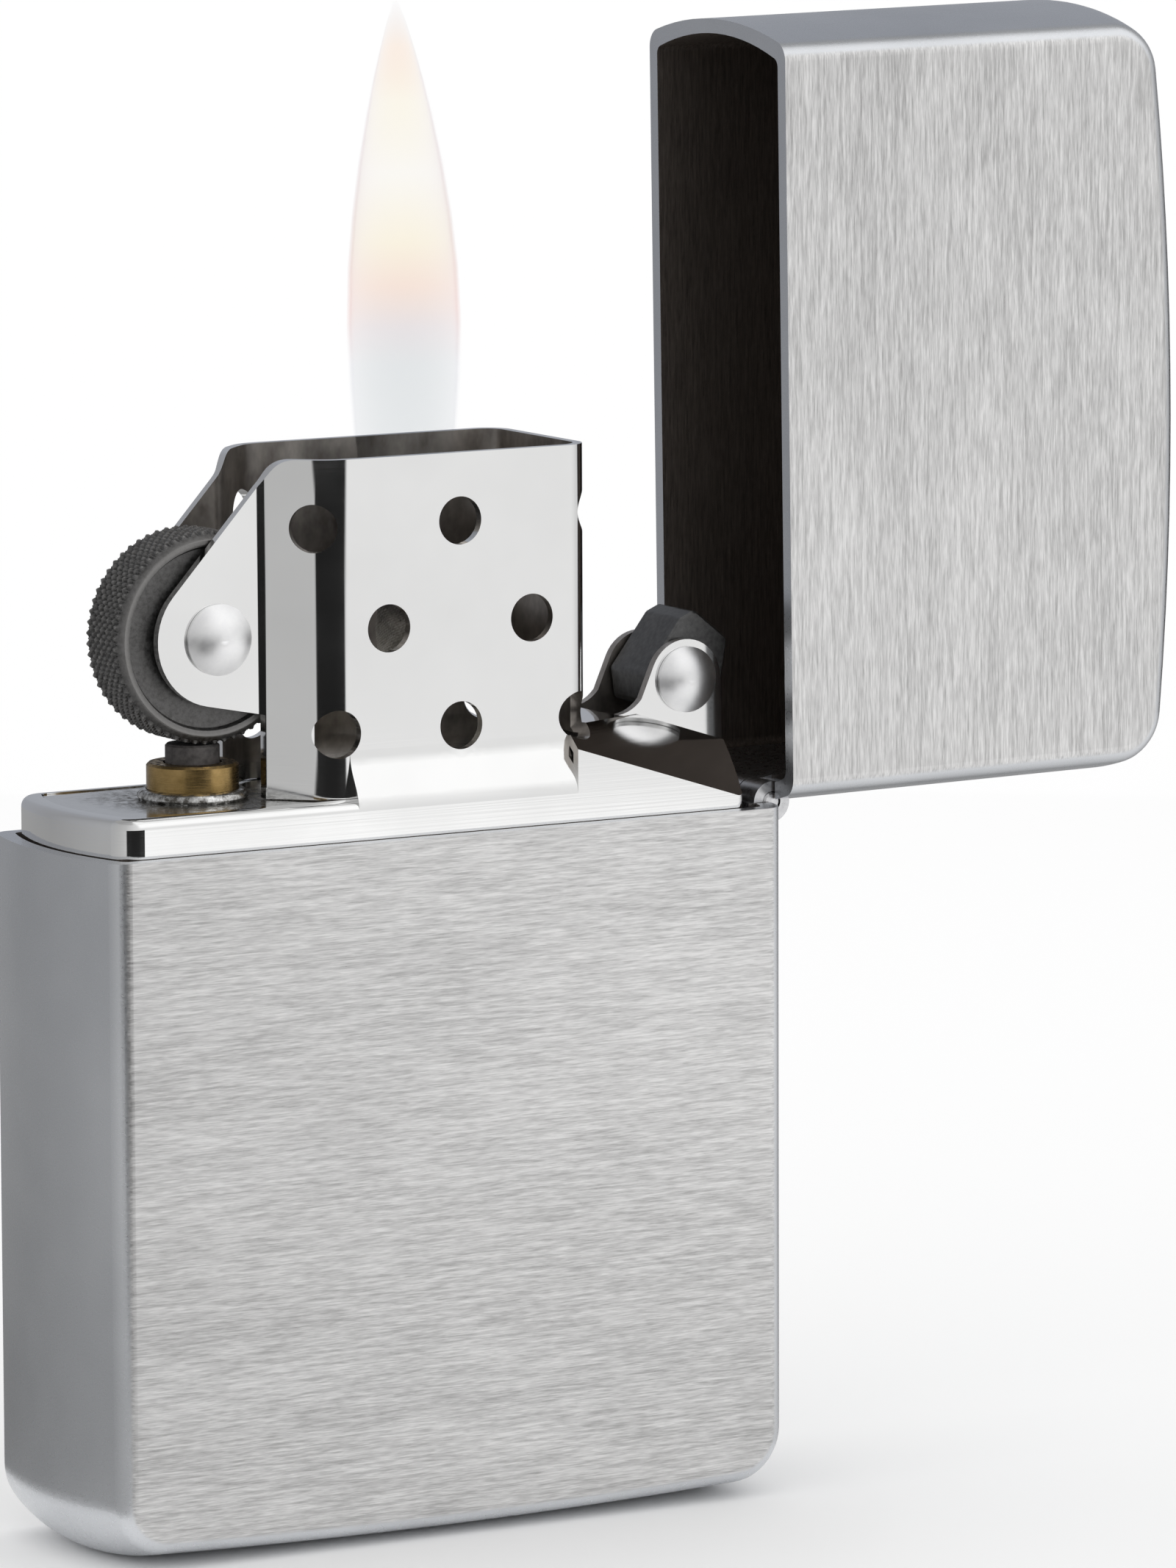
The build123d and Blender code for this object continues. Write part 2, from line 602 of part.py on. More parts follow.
with BuildPart() as cam_spring_rivet:
    with BuildSketch(rivet_plane):
        Circle(SPRING_RIVET_R + 0.45)
    extrude(amount=0.36)
    with BuildSketch(rivet_plane):
        Circle(SPRING_RIVET_R - 0.02)
    extrude(amount=INSERT_RIGHT + 0.1 - rivet_plane.origin.X)
    fillet(cam_spring_rivet.edges().group_by(Axis.X)[0], 0.2)
save(cam_spring_rivet.part, "cam_spring_rivet")

# ---- wick, packing and felt ---------------------------------------------------
with BuildPart() as wick:
    with BuildSketch(Plane.XY.offset(WICK_BASE)):
        with Locations((WICK_X, 0)):
            Circle(WICK_R)
    extrude(amount=up(WICK_TOP_UP) - WICK_BASE)
    fillet(wick.edges().filter_by(GeomType.CIRCLE), 0.5)
save(wick.part, "wick")

packing_half = insert_half - SHEET - PAD_CLEAR
packing_cells = ((TUBE_X + TUBE_R + 0.15, WICK_X - WICK_R - 0.15), (WICK_X + WICK_R + 0.15, strip_x - 0.7))
packing_floor = INSERT_BASE + FELT_THICK + 0.3
packing_layer = (up(plate_top_up - SHEET) - packing_floor - 0.3) / 2
for column, (x_low, x_high) in enumerate(packing_cells):
    for layer in range(2):
        with BuildPart() as packing_ball:
            with Locations(((x_low + x_high) / 2, 0, packing_floor + (layer + 0.5) * packing_layer)):
                Box(x_high - x_low, 2 * packing_half, packing_layer - 0.2)
            fillet(packing_ball.edges(), 2.6)
        save(packing_ball.part, f"packing_ball_{2 * column + layer + 1}")

with BuildPart() as felt_pad:
    with BuildSketch(Plane.XY.offset(INSERT_BASE + 0.1)):
        add(crowned_outline(insert_left - SHEET - PAD_CLEAR, INSERT_RIGHT - SHEET - PAD_CLEAR,
                            packing_half, 0.5))
        with Locations((TUBE_X, 0)):
            Circle(SCREW_HEAD_R + 0.3, mode=Mode.SUBTRACT)
    extrude(amount=FELT_THICK)
save(felt_pad.part, "felt_pad")
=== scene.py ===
import math
import random

import bpy
import numpy as np
from mathutils import Matrix, Vector


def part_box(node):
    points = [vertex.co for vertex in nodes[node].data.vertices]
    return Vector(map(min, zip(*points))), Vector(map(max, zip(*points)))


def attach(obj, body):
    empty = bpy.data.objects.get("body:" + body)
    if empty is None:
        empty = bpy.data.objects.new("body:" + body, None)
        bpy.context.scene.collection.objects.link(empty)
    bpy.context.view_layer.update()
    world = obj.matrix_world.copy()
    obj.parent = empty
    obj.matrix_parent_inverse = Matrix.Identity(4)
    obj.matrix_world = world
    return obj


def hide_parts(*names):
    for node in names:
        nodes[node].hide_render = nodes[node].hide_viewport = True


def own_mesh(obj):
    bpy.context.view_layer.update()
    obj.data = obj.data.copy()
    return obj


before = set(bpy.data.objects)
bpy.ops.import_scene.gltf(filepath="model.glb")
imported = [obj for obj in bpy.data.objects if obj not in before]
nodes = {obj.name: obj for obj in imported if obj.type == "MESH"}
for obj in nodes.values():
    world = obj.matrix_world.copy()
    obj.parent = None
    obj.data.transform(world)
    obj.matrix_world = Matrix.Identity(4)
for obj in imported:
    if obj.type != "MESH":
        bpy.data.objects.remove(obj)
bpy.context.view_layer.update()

MM = 0.001


# ---- material building --------------------------------------------------------
class Finish:
    """A node material under construction. Every method returns a socket."""

    def __init__(self, name):
        self.material = bpy.data.materials.new(name)
        self.material.use_nodes = True
        self.tree = self.material.node_tree
        self.tree.nodes.clear()
        self.coordinate = self.node("TexCoord")

    def node(self, kind, values=None, **settings):
        made = self.tree.nodes.new("ShaderNode" + kind)
        for key, value in settings.items():
            setattr(made, key, value)
        for key, value in (values or {}).items():
            if isinstance(value, bpy.types.NodeSocket):
                self.tree.links.new(value, made.inputs[key])
            else:
                made.inputs[key].default_value = value
        return made

    def place(self):
        return self.coordinate.outputs["Object"]

    def normal(self):
        return self.coordinate.outputs["Normal"]

    def offset(self, vector, centre):
        return self.node("VectorMath", {0: vector, 1: centre}, operation="SUBTRACT").outputs[0]

    def dot(self, a, b):
        return self.node("VectorMath", {0: a, 1: b}, operation="DOT_PRODUCT").outputs["Value"]

    def length(self, vector):
        return self.node("VectorMath", {0: vector}, operation="LENGTH").outputs["Value"]

    def times(self, vector, scale):
        return self.node("VectorMath", {0: vector, 1: scale}, operation="MULTIPLY").outputs[0]

    def axis(self, vector, letter):
        return self.node("SeparateXYZ", {0: vector}).outputs[letter]

    def math(self, operation, a, b=0.0, clamp=False):
        return self.node("Math", {0: a, 1: b}, operation=operation, use_clamp=clamp).outputs[0]

    def span(self, value, low, high, to_low=0.0, to_high=1.0, smooth=False):
        made = self.node("MapRange", {"Value": value, "From Min": low, "From Max": high,
                                      "To Min": to_low, "To Max": to_high})
        made.interpolation_type = "SMOOTHSTEP" if smooth else "LINEAR"
        return made.outputs[0]

    def noise(self, per_metre, detail=2.0, rough=0.5, seed=0.0, warp=0.0):
        """Noise with its features sized per axis, in cycles per metre."""
        at = self.times(self.place(), per_metre)
        at = self.node("VectorMath", {0: at, 1: (seed, seed * 1.7, seed * 2.3)}, operation="ADD").outputs[0]
        return self.node("TexNoise", {"Vector": at, "Scale": 1.0, "Detail": detail, "Roughness": rough,
                                      "Distortion": warp}).outputs[0]

    def mix(self, share, a, b):
        made = self.node("Mix", data_type="RGBA")
        for key, value in (("Factor_Float", share), ("A_Color", a), ("B_Color", b)):
            socket = next(s for s in made.inputs if s.identifier == key)
            if isinstance(value, bpy.types.NodeSocket):
                self.tree.links.new(value, socket)
            else:
                socket.default_value = (*value, 1.0) if key != "Factor_Float" else value
        return next(s for s in made.outputs if s.identifier == "Result_Color")

    def blend(self, share, a, b):
        return self.node("Mix", {0: share, 2: a, 3: b}, data_type="FLOAT").outputs[0]

    def ramp(self, value, stops):
        """Colours by place from 0 to 1. A single number is a grey."""
        made = self.node("ValToRGB", {0: value})
        elements = made.color_ramp.elements
        while len(elements) < len(stops):
            elements.new(0.5)
        for element, (place, tone) in zip(elements, stops):
            element.position = place
            element.color = (*tone, 1.0) if isinstance(tone, tuple) else (tone, tone, tone, 1.0)
        return made.outputs[0]

    def bump(self, height, depth, strength=1.0, under=None):
        values = {"Height": height, "Distance": depth, "Strength": strength}
        if under is not None:
            values["Normal"] = under
        return self.node("Bump", values).outputs[0]

    def surface(self, color, rough, metal=0.0, normal=None, **constants):
        values = {"Roughness": rough, "Metallic": metal}
        values["Base Color"] = color if isinstance(color, bpy.types.NodeSocket) else (*color, 1.0)
        if normal is not None:
            values["Normal"] = normal
        values.update({key.replace("_", " "): value for key, value in constants.items()})
        shader = self.node("BsdfPrincipled", values)
        self.node("OutputMaterial", {"Surface": shader.outputs[0]})
        return self.material


def dress(name, material):
    """Gives a CAD node its finish."""
    slots = nodes[name].data.materials
    for index in range(len(slots)):
        slots[index] = material


INSIDE_ROUGH = 0.48


# ---- metal finishes -----------------------------------------------------------
def case_finish(name, centre, along):
    """Brushed front and back, satin ends, painted shade inside, bare grainy rim."""
    f = Finish(name)
    long_axis, cross_axis = ("X", "Z") if along == "X" else ("Z", "X")

    def stretched(long_run, cross_run, seed, detail=2.0):
        sizes = {long_axis: long_run, cross_axis: cross_run, "Y": cross_run}
        return f.noise((sizes["X"], sizes["Y"], sizes["Z"]), detail, 0.55, seed, 0.15)

    coarse = stretched(420, 7800, 3.0)
    fine = stretched(1300, 17000, 11.0)
    patch = stretched(70, 260, 23.0, 3.0)
    streak = f.math("ADD", f.math("MULTIPLY", coarse, 0.45), f.math("MULTIPLY", fine, 0.40))
    streak = f.math("ADD", streak, f.math("MULTIPLY", patch, 0.15))
    facing = f.math("ABSOLUTE", f.axis(f.normal(), "Y"))
    brushed = f.span(facing, 0.90, 0.985, smooth=True)
    grain = f.noise((6000, 6000, 6000), 3.0, 0.6, 5.0)
    # Inner faces of the case and lid (normals towards the centre) get a painted shade colour below.
    outward = f.dot(f.normal(), f.offset(f.place(), centre))
    inside = f.span(outward, 0.0005, -0.0005)

    front = f.mix(f.span(streak, 0.36, 0.64), (0.44, 0.436, 0.434), (0.83, 0.825, 0.82))
    wear = f.noise((90, 90, 90), 3.0, 0.6, 31.0)
    end = f.mix(f.span(wear, 0.3, 0.7), (0.64, 0.655, 0.68), (0.74, 0.755, 0.78))
    outside = f.mix(brushed, end, front)
    # dark: painted shade for the hollow inside, brownish and streaked like the brushing.
    dark = f.mix(f.span(streak, 0.36, 0.64), (0.20, 0.172, 0.155), (0.40, 0.35, 0.315))
    color = f.mix(inside, outside, dark)
    rough = f.math("ADD", f.span(streak, 0.3, 0.7, 0.24, 0.40), f.math("MULTIPLY", grain, 0.05))
    satin = f.span(grain, 0.3, 0.7, 0.26, 0.33)
    rough = f.blend(brushed, satin, rough)
    rough = f.blend(inside, rough, INSIDE_ROUGH)
    scratch = f.bump(streak, 0.00002, 0.5)
    pores = f.bump(grain, 0.000004, 0.35, scratch)
    return f.surface(color, rough, 1.0, pores)


def polished_finish(name, tone=(0.90, 0.90, 0.895), soot_centre=None, soot_low=0.0):
    """Polished sheet with faint rolling lines, sooty inside the chimney."""
    f = Finish(name)
    haze = f.noise((140, 140, 140), 3.0, 0.6, 2.0)
    lines = f.noise((60, 900, 9000), 2.0, 0.5, 7.0)
    color = f.mix(f.span(haze, 0.3, 0.75), tone, tuple(c * 0.94 for c in tone))
    rough = f.math("ADD", f.span(haze, 0.3, 0.8, 0.045, 0.10), f.math("MULTIPLY", lines, 0.02))
    if soot_centre is not None:
        across = f.times(f.offset(f.place(), soot_centre), (1.0, 1.0, 0.0))
        inside = f.span(f.dot(f.normal(), across), -0.0006, -0.0016)
        above = f.span(f.axis(f.place(), "Z"), soot_low, soot_low + 0.0012)
        cloud = f.noise((420, 420, 260), 4.0, 0.65, 19.0)
        soot = f.math("MULTIPLY", inside, above)
        brown = f.mix(f.span(cloud, 0.35, 0.7), (0.60, 0.56, 0.52), (0.20, 0.18, 0.165))
        color = f.mix(soot, color, brown)
        rough = f.blend(soot, rough, 0.36)
    normal = f.bump(lines, 0.0000015, 0.5)
    return f.surface(color, rough, 1.0, normal)


def plate_finish():
    """Polished plate with spark dust round the flint tube."""
    f = Finish("insert_metal_plate")
    tube_mid = (tube_low + tube_high) / 2
    across = f.times(f.offset(f.place(), tuple(tube_mid)), (1.0, 1.0, 0.0))
    away = f.length(across)
    dust = f.noise((2600, 2600, 2600), 5.0, 0.7, 29.0)
    cloud = f.noise((260, 260, 260), 3.0, 0.6, 33.0)
    near = f.span(f.math("ADD", away, f.math("MULTIPLY", cloud, 0.003)), 0.0072, 0.0046)
    share = f.math("MULTIPLY", f.span(dust, 0.34, 0.60), f.span(near, 0.0, 1.0, 0.05, 0.95))
    color = f.mix(share, (0.80, 0.80, 0.79), (0.10, 0.092, 0.08))
    rough = f.span(share, 0.0, 1.0, 0.07, 0.5)
    return f.surface(color, rough, 1.0, f.bump(dust, 0.000006, 0.4))


def steel_finish(name, low, high, rough_low, rough_high, depth, sizes=(3500, 3500, 3500), metal=1.0):
    """Grained metal between two tones."""
    f = Finish(name)
    grain = f.noise(sizes, 4.0, 0.6, 4.0)
    blotch = f.noise(tuple(s * 0.06 for s in sizes), 3.0, 0.6, 9.0)
    both = f.math("ADD", f.math("MULTIPLY", grain, 0.6), f.math("MULTIPLY", blotch, 0.4))
    color = f.mix(f.span(both, 0.35, 0.65), low, high)
    return f.surface(color, f.span(both, 0.3, 0.7, rough_low, rough_high), metal, f.bump(grain, depth, 0.6))


def brass_finish(name, sooty_above=None):
    """Turned brass, dusted dark on top where the sparks fall."""
    f = Finish(name)
    turned = f.noise((500, 500, 14000), 2.0, 0.5, 6.0)
    blotch = f.noise((900, 900, 900), 4.0, 0.65, 13.0)
    color = f.mix(f.span(blotch, 0.3, 0.7), (0.26, 0.17, 0.06), (0.48, 0.33, 0.14))
    rough = f.span(turned, 0.3, 0.7, 0.20, 0.32)
    if sooty_above is not None:
        dust = f.noise((4200, 4200, 4200), 4.0, 0.7, 21.0)
        upward = f.span(f.axis(f.normal(), "Z"), 0.5, 0.9)
        top = f.math("MULTIPLY", f.span(f.axis(f.place(), "Z"), sooty_above - 0.0002, sooty_above), upward)
        specks = f.math("MULTIPLY", f.span(dust, 0.36, 0.58), top)
        color = f.mix(specks, color, (0.045, 0.035, 0.028))
        rough = f.blend(specks, rough, 0.7)
    return f.surface(color, rough, 1.0, f.bump(turned, 0.000006, 0.5))


def fibre_finish(name, pale, dark, sizes, depth, char_from=None):
    """Cotton, felt or wick, charred above a height where one is given."""
    f = Finish(name)
    strand = f.noise(sizes, 4.0, 0.7, 8.0, 1.2)
    tuft = f.noise(tuple(s * 0.2 for s in sizes), 3.0, 0.6, 17.0)
    both = f.math("ADD", f.math("MULTIPLY", strand, 0.6), f.math("MULTIPLY", tuft, 0.4))
    color = f.mix(f.span(both, 0.35, 0.65), dark, pale)
    if char_from is not None:
        edge = f.math("ADD", f.axis(f.place(), "Z"), f.math("MULTIPLY", tuft, 0.003))
        color = f.mix(f.span(edge, char_from, char_from + 0.004), color, (0.03, 0.026, 0.024))
    return f.surface(color, f.span(strand, 0.3, 0.7, 0.75, 0.95), 0.0, f.bump(both, depth, 0.8),
                     Sheen_Weight=0.25)


lid_low, lid_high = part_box("lid_shell")
case_low, case_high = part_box("case_body")
can_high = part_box("insert_can")[1]
plate_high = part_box("top_plate")[1]
tube_low, tube_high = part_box("flint_tube")
wick_low, wick_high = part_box("wick")
wheel_low, wheel_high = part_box("flint_wheel")
chimney_mid = ((wick_low.x + wick_high.x) / 2 + 0.4 * MM, 0.0, can_high.z - 8 * MM)

dress("case_body", case_finish("case_metal_body", tuple((case_low + case_high) / 2), "X"))
dress("lid_shell", case_finish("case_metal_lid", tuple((lid_low + lid_high) / 2), "Z"))
dress("insert_can", polished_finish("insert_metal_sheet", soot_centre=chimney_mid,
                                    soot_low=plate_high.z - 0.5 * MM))
dress("top_plate", plate_finish())
for rivet in ("wheel_rivet", "cam_rivet", "cam_spring_rivet"):
    dress(rivet, steel_finish("rivet_metal_" + rivet, (0.86, 0.86, 0.87), (0.93, 0.93, 0.93),
                              0.32, 0.40, 0.000002))
hinge_steel = steel_finish("hinge_metal_steel", (0.50, 0.50, 0.51), (0.74, 0.74, 0.75), 0.22, 0.36, 0.000008)
for leaf in ("body_hinge_leaf", "lid_hinge_leaf", "hinge_pin"):
    dress(leaf, hinge_steel)
dress("cam", steel_finish("cam_steel_dark", (0.10, 0.10, 0.10), (0.19, 0.19, 0.19), 0.36, 0.5, 0.00001))
spring_steel = steel_finish("spring_steel_wire", (0.36, 0.36, 0.38), (0.56, 0.56, 0.58), 0.2, 0.34, 0.000004)
for spring in ("flint_spring", "cam_spring"):
    dress(spring, spring_steel)
dress("flint", steel_finish("flint_rod", (0.06, 0.055, 0.055), (0.16, 0.15, 0.145), 0.6, 0.85, 0.00002,
                            metal=0.7))
dress("flint_tube", brass_finish("brass_tube", tube_high.z - 0.1 * MM))
for piece in ("spring_tip", "flint_screw"):
    dress(piece, brass_finish("brass_" + piece))
for number in range(1, 5):
    dress(f"packing_ball_{number}", fibre_finish("packing_fibre", (0.90, 0.89, 0.86), (0.66, 0.64, 0.60),
                                                 (2600, 2600, 2600), 0.0003))
dress("felt_pad", fibre_finish("felt_wool", (0.84, 0.82, 0.76), (0.60, 0.58, 0.52),
                               (3800, 3800, 3800), 0.00015))
dress("wick", fibre_finish("wick_cotton", (0.84, 0.80, 0.72), (0.52, 0.48, 0.41), (2600, 2600, 5200), 0.0001,
                           wick_high.z - 6 * MM))


# ---- meshes -------------------------------------------------------------------
def mesh_piece(name, vertices, faces, material, body, slot, *replaced):
    """A detailed mesh in place of CAD nodes."""
    mesh = bpy.data.meshes.new(name)
    mesh.from_pydata(vertices, [], faces)
    mesh.validate()
    mesh.materials.append(material)
    piece = bpy.data.objects.new(name, mesh)
    bpy.context.scene.collection.objects.link(piece)
    if replaced:
        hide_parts(*replaced)
    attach(piece, body)
    return piece


def ring_faces(rings, around, wrap=False):
    """Quads between consecutive rings of equal count."""
    faces = []
    for ring in range(rings if wrap else rings - 1):
        here, there = ring * around, (ring + 1) % rings * around
        for step in range(around):
            nxt = (step + 1) % around
            faces.append((here + step, here + nxt, there + nxt, there + step))
    return faces


WHEEL_BORE = 0.85 * MM
TEETH, STEPS_PER_TOOTH = 60, 8
TOOTH_DEPTH = 0.17 * MM
TOOTH_ROWS = 27
WHEEL_RIM = 0.30 * MM       # plain border on both sides of the teeth


def knurled_wheel():
    """The flint wheel, with pointed cross-cut teeth all round its rim."""
    low, high = wheel_low, wheel_high
    centre = (low + high) / 2
    outer, half = (high.x - low.x) / 2, (high.y - low.y) / 2
    around = TEETH * STEPS_PER_TOOTH
    pitch = 2 * math.pi * outer / TEETH
    depth = TOOTH_DEPTH
    toothed = half - WHEEL_RIM
    rows = [-toothed + 2 * toothed * row / (TOOTH_ROWS - 1) for row in range(TOOTH_ROWS)]
    profile = [(WHEEL_BORE, -half), (2.0 * MM, -half), (2.3 * MM, -half + 0.25 * MM),
               (outer - 0.80 * MM, -half + 0.25 * MM), (outer - 0.68 * MM, -half + 0.02 * MM),
               (outer - 0.60 * MM, -half), (outer - 0.42 * MM, -half), (outer - 0.36 * MM, -half + 0.04 * MM),
               (outer - depth, -half + 0.24 * MM)]
    sections = profile + [(None, y) for y in rows] + [(r, -y) for r, y in reversed(profile)]

    def saw(value):
        return abs(2 * (value - math.floor(value)) - 1)

    vertices = []
    for radius, y in sections:
        for step in range(around):
            turn = 2 * math.pi * step / around
            if radius is None:
                along = turn * outer / pitch
                tooth = min(saw(along + y / pitch), saw(along - y / pitch)) * 1.6
                r = outer - depth * (1 - min(1.0, tooth))
            else:
                r = radius
            vertices.append((centre.x + r * math.cos(turn), y, centre.z + r * math.sin(turn)))
    f = Finish("wheel_steel_knurled")
    grain = f.noise((5200, 5200, 5200), 4.0, 0.65, 3.0)
    scratch = f.noise((1800, 1800, 1800), 5.0, 0.7, 12.0)
    across = f.offset(f.place(), tuple(centre))
    away = f.length(f.times(across, (1, 0, 1)))
    worn = f.math("MULTIPLY", f.span(away, outer - 0.09 * MM, outer), f.span(scratch, 0.35, 0.6))
    ring = f.math("MULTIPLY", f.span(away, outer - 0.75 * MM, outer - 0.5 * MM),
                  f.span(away, outer - 0.2 * MM, outer - 0.45 * MM))
    color = f.mix(f.span(grain, 0.35, 0.65), (0.10, 0.098, 0.096), (0.19, 0.187, 0.185))
    color = f.mix(f.math("MULTIPLY", ring, 0.45), color, (0.42, 0.41, 0.40))
    color = f.mix(f.math("MULTIPLY", worn, 0.8), color, (0.36, 0.35, 0.34))
    material = f.surface(color, f.span(grain, 0.3, 0.7, 0.38, 0.58), 1.0, f.bump(grain, 0.00001, 0.7))
    mesh_piece("knurled_wheel", vertices, ring_faces(len(sections), around, wrap=True), material,
               "wheel", "wheel_steel", "flint_wheel")


knurled_wheel()


def braided_wick():
    """The cotton wick: eight strands plaited over and under, fraying at the charred top."""
    low, high = wick_low, wick_high
    centre_x = (low.x + high.x) / 2
    outer = (high.x - low.x) / 2
    around, rows = 96, 420
    relief, plait, fray_depth = 0.20 * MM, 2.6 * MM, 0.35 * MM
    draw = random.Random(7)
    fray = [draw.uniform(0.0, 1.0) for _ in range(around)]
    vertices = []
    for row in range(rows):
        up = row / (rows - 1)
        z = low.z + (high.z - low.z) * up
        near_end = min(up, 1 - up) * (rows - 1)
        close = min(1.0, 0.72 + 0.07 * near_end)
        for step in range(around):
            turn = 2 * math.pi * step / around
            lap = z / plait
            one = math.cos(4 * turn + 2 * math.pi * lap)
            other = math.cos(4 * turn - 2 * math.pi * lap)
            over = max(one + 0.25 * other, other + 0.25 * one) / 1.25
            thread = 0.12 * math.cos(34 * turn + 14 * math.pi * lap)
            r = (outer - relief * (1 - max(0.0, over)) - 0.12 * relief + thread * relief) * close
            sink = fray_depth * fray[step] * max(0.0, 1 - (rows - 1 - row) / 4)
            vertices.append((centre_x + r * math.cos(turn), r * math.sin(turn), z - sink))
    faces = ring_faces(rows, around)
    faces.append(tuple(reversed(range(around))))
    faces.append(tuple(range((rows - 1) * around, rows * around)))
    cotton = nodes["wick"].data.materials[0]
    mesh_piece("braided_wick", vertices, faces, cotton, "insert", "wick_cord", "wick")


braided_wick()


# ---- flame --------------------------------------------------------------------
# Height over the chimney's rim and half width, in millimetres.
FLAME_OUTLINE = [(-4.2, 0.6), (-3.4, 1.6), (-2.0, 2.2), (0.5, 2.48), (3.0, 2.66), (5.7, 2.76), (8.5, 2.66),
                 (11.0, 2.40), (13.5, 2.02), (15.7, 1.60), (17.5, 1.20), (18.9, 0.84), (20.2, 0.46),
                 (21.2, 0.10)]
FLAME_TONES = [(0.0, (0.77, 0.795, 0.805)), (0.20, (0.77, 0.795, 0.805)), (0.28, (0.81, 0.785, 0.80)),
               (0.37, (0.94, 0.80, 0.70)), (0.47, (0.98, 0.935, 0.77)), (0.62, (0.992, 0.985, 0.93)),
               (0.78, (0.98, 0.92, 0.71)), (0.90, (0.93, 0.56, 0.24)), (1.0, (0.5, 0.4, 0.42))]
HALO_TONES = [(0.0, (0.86, 0.87, 0.89)), (0.20, (0.86, 0.86, 0.89)), (0.32, (0.90, 0.72, 0.70)),
              (0.50, (0.80, 0.68, 0.66)), (0.80, (0.70, 0.60, 0.66)), (1.0, (0.5, 0.5, 0.54))]


FLAME_DEPTH = 0.8           # front to back, as a share of its width
FLAME_LEAN = -0.32 * MM     # at the tip, towards the wheel


def flame_body(name, swell, hollow, tones, density):
    """A staged flame mesh over the wick, solid or hollow."""
    base = can_high.z
    mid = (wick_low.x + wick_high.x) / 2 - 0.1 * MM
    around = 64
    heights = np.linspace(FLAME_OUTLINE[0][0], FLAME_OUTLINE[-1][0], 90)
    radii = np.interp(heights, [h for h, _ in FLAME_OUTLINE], [r for _, r in FLAME_OUTLINE]) * swell

    def skin(scale):
        found = []
        for height, radius in zip(heights, radii * scale):
            lean = FLAME_LEAN * max(0.0, (height - 4) / 16) ** 1.5
            for step in range(around):
                turn = 2 * math.pi * step / around
                across, deep = radius * MM * math.cos(turn), FLAME_DEPTH * radius * MM * math.sin(turn)
                found.append((mid + lean + across, deep, base + height * MM))
        return found

    vertices = skin(1.0)
    count = len(heights)
    faces = ring_faces(count, around)
    top = (count - 1) * around
    if hollow:
        inner = len(vertices)
        vertices += skin(hollow)
        faces += [tuple(inner + index for index in reversed(face)) for face in ring_faces(count, around)]
        for step in range(around):
            nxt = (step + 1) % around
            faces.append((step, inner + step, inner + nxt, nxt))
            faces.append((top + nxt, inner + top + nxt, inner + top + step, top + step))
    else:
        faces.append(tuple(reversed(range(around))))
        faces.append(tuple(range(top, top + around)))
    mesh = bpy.data.meshes.new(name)
    mesh.from_pydata(vertices, [], faces)
    for polygon in mesh.polygons:
        polygon.use_smooth = True
    body = bpy.data.objects.new(name, mesh)
    bpy.context.scene.collection.objects.link(body)
    f = Finish(name + "_glow")
    share = f.span(f.axis(f.place(), "Z"), base - 0.5 * MM, base + FLAME_OUTLINE[-1][0] * MM)
    absorb = f.node("VolumeAbsorption", {"Color": f.ramp(share, tones), "Density": density})
    clear = f.node("BsdfTransparent")
    f.node("OutputMaterial", {"Surface": clear.outputs[0], "Volume": absorb.outputs[0]})
    mesh.materials.append(f.material)
    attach(body, "insert")
    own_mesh(body)
    body.visible_shadow = False
    body.visible_diffuse = False


flame_body("flame", 1.0, None, FLAME_TONES, 230.0)
flame_body("flame_edge", 1.04, 0.92, HALO_TONES, 480.0)


# ---- stage and lights ---------------------------------------------------------
SURROUND_R, SURROUND_TOP, SURROUND_FOOT = 250 * MM, 350 * MM, 0.3 * MM
PAPER_WHITE, WORLD_STRENGTH = 0.93, 1.08    # their product puts the floor at just white
FLOOR_HALF = 6.0


def surround_part(name, rings, level_of):
    """Part of the surround that only mirrors can see. Turn 0 is in front, positive towards the wheel."""
    around = 96
    vertices = [(-r * math.sin(2 * math.pi * step / around), -r * math.cos(2 * math.pi * step / around), z)
                for r, z in rings for step in range(around)]
    mesh = bpy.data.meshes.new(name)
    mesh.from_pydata(vertices, [], ring_faces(len(rings), around))
    part = bpy.data.objects.new(name, mesh)
    bpy.context.scene.collection.objects.link(part)
    f = Finish(name)
    minus = f.times(f.place(), (-1.0, -1.0, 1.0))
    turn = f.math("ARCTAN2", f.axis(minus, "X"), f.axis(minus, "Y"))
    turn = f.math("MULTIPLY", turn, 180 / math.pi)
    glow = f.node("Emission", {"Color": level_of(f, turn), "Strength": 1.0})
    f.node("OutputMaterial", {"Surface": glow.outputs[0]})
    mesh.materials.append(f.material)
    for flag in ("camera", "diffuse", "transmission", "shadow", "volume_scatter"):
        setattr(part, "visible_" + flag, False)


def turn_ramp(f, turn, stops):
    """Levels by turn in degrees."""
    return f.ramp(f.span(turn, -180, 180), [((degrees + 180) / 360, tone) for degrees, tone in stops])


def window(f, value, low, high, soft):
    """1 between low and high, 0 outside, with soft edges."""
    return f.math("MULTIPLY", f.span(value, low - soft, low + soft), f.span(value, high + soft, high - soft))


WALL_LEVELS = [(-180, (0.33, 0.34, 0.37)), (-172, (0.36, 0.375, 0.41)), (-134, (0.36, 0.375, 0.41)),
               (-105, 0.36), (-92, 0.45), (-62, 0.76), (-46, 0.84), (-12, 0.84), (20, 0.70), (52, 0.52),
               (78, 0.46), (116, (0.40, 0.405, 0.42)), (150, (0.30, 0.305, 0.32)), (180, (0.33, 0.34, 0.37))]
FLOOR_LEVELS = [(-180, 0.34), (-110, 0.36), (-85, 0.85), (-60, 1.1), (-12, 1.1), (24, 0.9), (60, 0.55),
                (110, 0.42), (150, 0.32), (180, 0.34)]
CEILING_LEVELS = [(-180, 0.36), (-95, 0.40), (-60, 1.0), (-5, 1.0), (30, 0.45), (110, 0.34), (180, 0.36)]


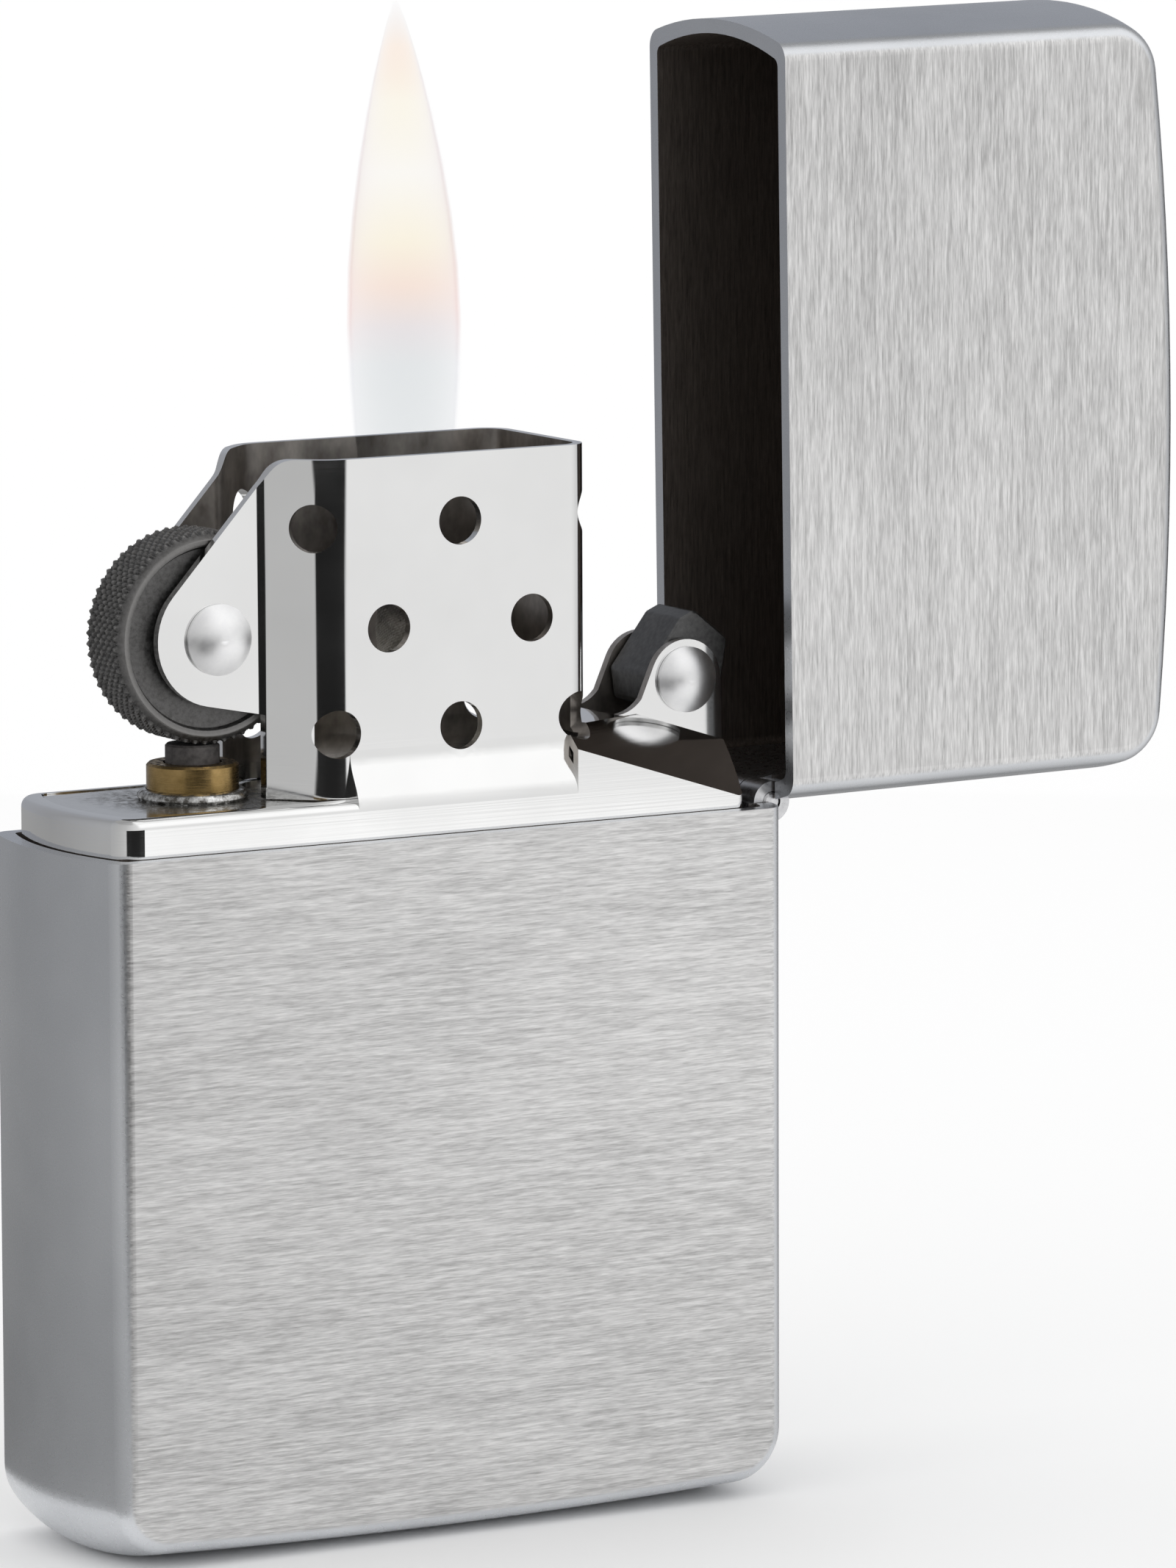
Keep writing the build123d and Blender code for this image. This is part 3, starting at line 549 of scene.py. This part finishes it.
def wall_level(f, turn):
    height = f.axis(f.place(), "Z")
    bright = f.math("MULTIPLY", window(f, turn, -88, -2, 8), f.span(height, 60 * MM, 150 * MM))
    level = f.mix(bright, turn_ramp(f, turn, WALL_LEVELS), (1.12, 1.12, 1.12))
    front = f.math("MULTIPLY", window(f, turn, -18, 49, 1.5), f.span(height, 38 * MM, 33 * MM))
    rear = f.math("MULTIPLY", window(f, turn, -139, -98, 1.5), f.span(height, 70 * MM, 40 * MM))
    return f.mix(f.math("MAXIMUM", front, rear), level, (0.012, 0.012, 0.012))


def floor_level(f, turn):
    away = f.length(f.times(f.place(), (1.0, 1.0, 0.0)))
    open_floor = turn_ramp(f, turn, FLOOR_LEVELS)
    shade = f.mix(f.span(away, 25 * MM, 120 * MM), (0.70, 0.70, 0.70), (1.0, 1.0, 1.0))
    lit = f.node("VectorMath", {0: open_floor, 1: shade}, operation="MULTIPLY").outputs[0]
    near_strip = f.math("MULTIPLY", window(f, turn, -2, 34, 2), f.span(away, 70 * MM, 90 * MM))
    far_strip = f.math("MULTIPLY", window(f, turn, -18, 49, 2), f.span(away, 165 * MM, 185 * MM))
    return f.mix(f.math("MAXIMUM", near_strip, far_strip), lit, (0.02, 0.02, 0.02))


def ceiling_level(f, turn):
    return turn_ramp(f, turn, CEILING_LEVELS)


surround_part("surround_floor", [(radius, SURROUND_FOOT) for radius in (24 * MM, 120 * MM, SURROUND_R)],
              floor_level)
surround_part("surround_wall", [(SURROUND_R, SURROUND_FOOT), (SURROUND_R, SURROUND_TOP)], wall_level)
surround_part("surround_ceiling", [(SURROUND_R, SURROUND_TOP), (1 * MM, SURROUND_TOP)], ceiling_level)

floor_mesh = bpy.data.meshes.new("floor")
corners = [(x * FLOOR_HALF, y * FLOOR_HALF, 0) for x, y in ((-1, -1), (1, -1), (1, 1), (-1, 1))]
floor_mesh.from_pydata(corners, [], [(0, 1, 2, 3)])
floor = bpy.data.objects.new("floor", floor_mesh)
bpy.context.scene.collection.objects.link(floor)
paper = Finish("floor_paper")
tooth = paper.noise((900, 900, 900), 2.0, 0.5, 1.0)
floor_mesh.materials.append(paper.surface((PAPER_WHITE,) * 3, paper.span(tooth, 0.0, 1.0, 0.85, 0.95), 0.0,
                                          None, Specular_IOR_Level=0.2))

world = bpy.data.worlds.new("studio")
world.use_nodes = True
world.node_tree.nodes["Background"].inputs["Color"].default_value = (1.0, 1.0, 1.0, 1.0)
world.node_tree.nodes["Background"].inputs["Strength"].default_value = WORLD_STRENGTH
bpy.context.scene.world = world
bpy.context.scene.view_settings.view_transform = "Standard"

# ---- camera -------------------------------------------------------------------
AZIMUTH, ELEVATION, ROLL = -30.304, 8.040, -0.215
DISTANCE, RIGHTWARD, UPWARD = 491.74 * MM, 9.455 * MM, 1.566 * MM
FOCAL_PER_HEIGHT = 6.539456   # focal length over the frame's height
AIM_HEIGHT = 34 * MM

azimuth, elevation, roll = (math.radians(value) for value in (AZIMUTH, ELEVATION, ROLL))
back = Vector((math.sin(azimuth) * math.cos(elevation), -math.cos(azimuth) * math.cos(elevation),
               math.sin(elevation)))
right = Vector((0, 0, 1)).cross(back).normalized()
upward = back.cross(right)
camera_data = bpy.data.cameras.new("camera")
camera_data.lens = FOCAL_PER_HEIGHT * camera_data.sensor_width
camera_data.clip_start, camera_data.clip_end = 0.01, 20.0
camera = bpy.data.objects.new("camera", camera_data)
camera.location = Vector((0, 0, AIM_HEIGHT)) + back * DISTANCE + right * RIGHTWARD + upward * UPWARD
turned_right = right * math.cos(roll) + upward * math.sin(roll)
turned_up = upward * math.cos(roll) - right * math.sin(roll)
camera.rotation_mode = "QUATERNION"
camera.rotation_quaternion = Matrix((turned_right, turned_up, back)).transposed().to_quaternion()
bpy.context.scene.collection.objects.link(camera)
bpy.context.scene.camera = camera
